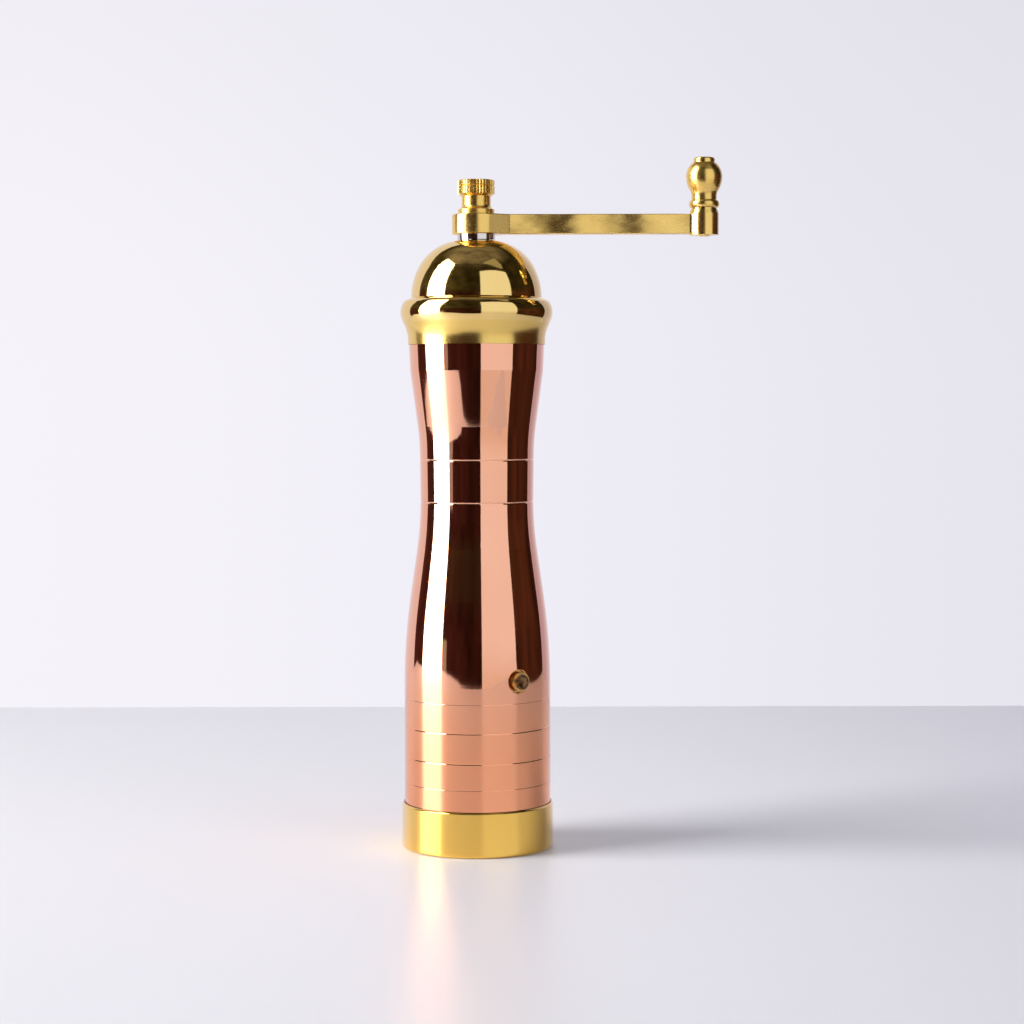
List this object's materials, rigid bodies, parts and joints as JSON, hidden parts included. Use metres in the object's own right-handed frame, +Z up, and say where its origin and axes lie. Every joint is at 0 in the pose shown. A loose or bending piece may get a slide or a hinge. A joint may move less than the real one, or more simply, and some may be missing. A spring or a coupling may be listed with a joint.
{
  "type": "hand coffee mill",
  "caption": "Tall cylindrical hand coffee mill: waisted copper body, brass base cap and domed lid, crank arm with turned knob and a knurled grind nut on top.",
  "frame": {"origin": "centre of the base cap's flat underside, on the mill's axis", "axes": "+Z up along the mill's axis, +X along the crank arm at rest, -Y the front, with the side catch to the right of it"},
  "size_m": [0.1067, 0.0508, 0.2286],
  "materials": {
    "copper": "polished",
    "brass": "satin",
    "bronze": "turned",
    "steel": "polished",
    "burr_steel": "hardened"
  },
  "bodies": {
    "base": {"base_cap": "brass"},
    "mill_body": {"body_shell": "copper", "burr_housing": "brass", "ring_burr": "burr_steel", "ring_burr_screws": "steel", "bearing_bridge": "steel", "bridge_screws": "steel", "shaft_bush": "bronze", "catch_spring": "steel"},
    "catch": {"catch_button": "bronze"},
    "lid": {"dome_lid": "brass", "lid_ring": "brass", "lid_bush": "bronze"},
    "crank": {"thrust_collar": "steel", "crank_arm": "brass", "knob_pin": "brass", "knob_washer": "brass"},
    "knob": {"handle_knob": "brass"},
    "nut": {"adjusting_nut": "brass"},
    "seat": {"spring_seat": "steel", "grind_spring": "steel"},
    "shaft": {"drive_shaft": "steel", "rotor_burr": "burr_steel", "rotor_washer": "steel", "rotor_nut": "steel"}
  },
  "joints": [
    {"name": "body_lift", "type": "slide", "parent": "base", "child": "mill_body", "axis": [0, 0, 1], "range_m": [0, 0.03]},
    {"name": "catch_press", "type": "slide", "parent": "mill_body", "child": "catch", "axis": [-0.5678, 0.8231, 0], "range_m": [0, 0.0036], "stiffness_N_per_m": 400, "springref_m": -0.003, "deforming": ["catch_spring"]},
    {"name": "lid_lift", "type": "slide", "parent": "mill_body", "child": "lid", "axis": [0, 0, 1], "range_m": [0, 0.065]},
    {"name": "crank_spin", "type": "hinge", "parent": "lid", "child": "crank", "pos_m": [0, 0, 0.2065], "axis": [0, 0, 1], "continuous": true},
    {"name": "knob_spin", "type": "hinge", "parent": "crank", "child": "knob", "pos_m": [0.07532, 0, 0.2195], "axis": [0, 0, 1], "continuous": true},
    {"name": "nut_turn", "type": "hinge", "parent": "crank", "child": "nut", "pos_m": [0, 0, 0.2154], "axis": [0, 0, -1], "range_deg": [-720, 360]},
    {"name": "grind_rise", "type": "slide", "parent": "mill_body", "child": "seat", "axis": [0, 0, 1], "range_m": [-0.0016, 0.0008], "deforming": ["grind_spring"]},
    {"name": "shaft_spin", "type": "hinge", "parent": "seat", "child": "shaft", "pos_m": [0, 0, 0.0525], "axis": [0, 0, 1], "continuous": true}
  ],
  "couplings": [
    {"joint": "shaft_spin", "follows": "crank_spin", "ratio": 1},
    {"joint": "nut_turn", "follows": "grind_rise", "rad_per_m": 7854}
  ]
}
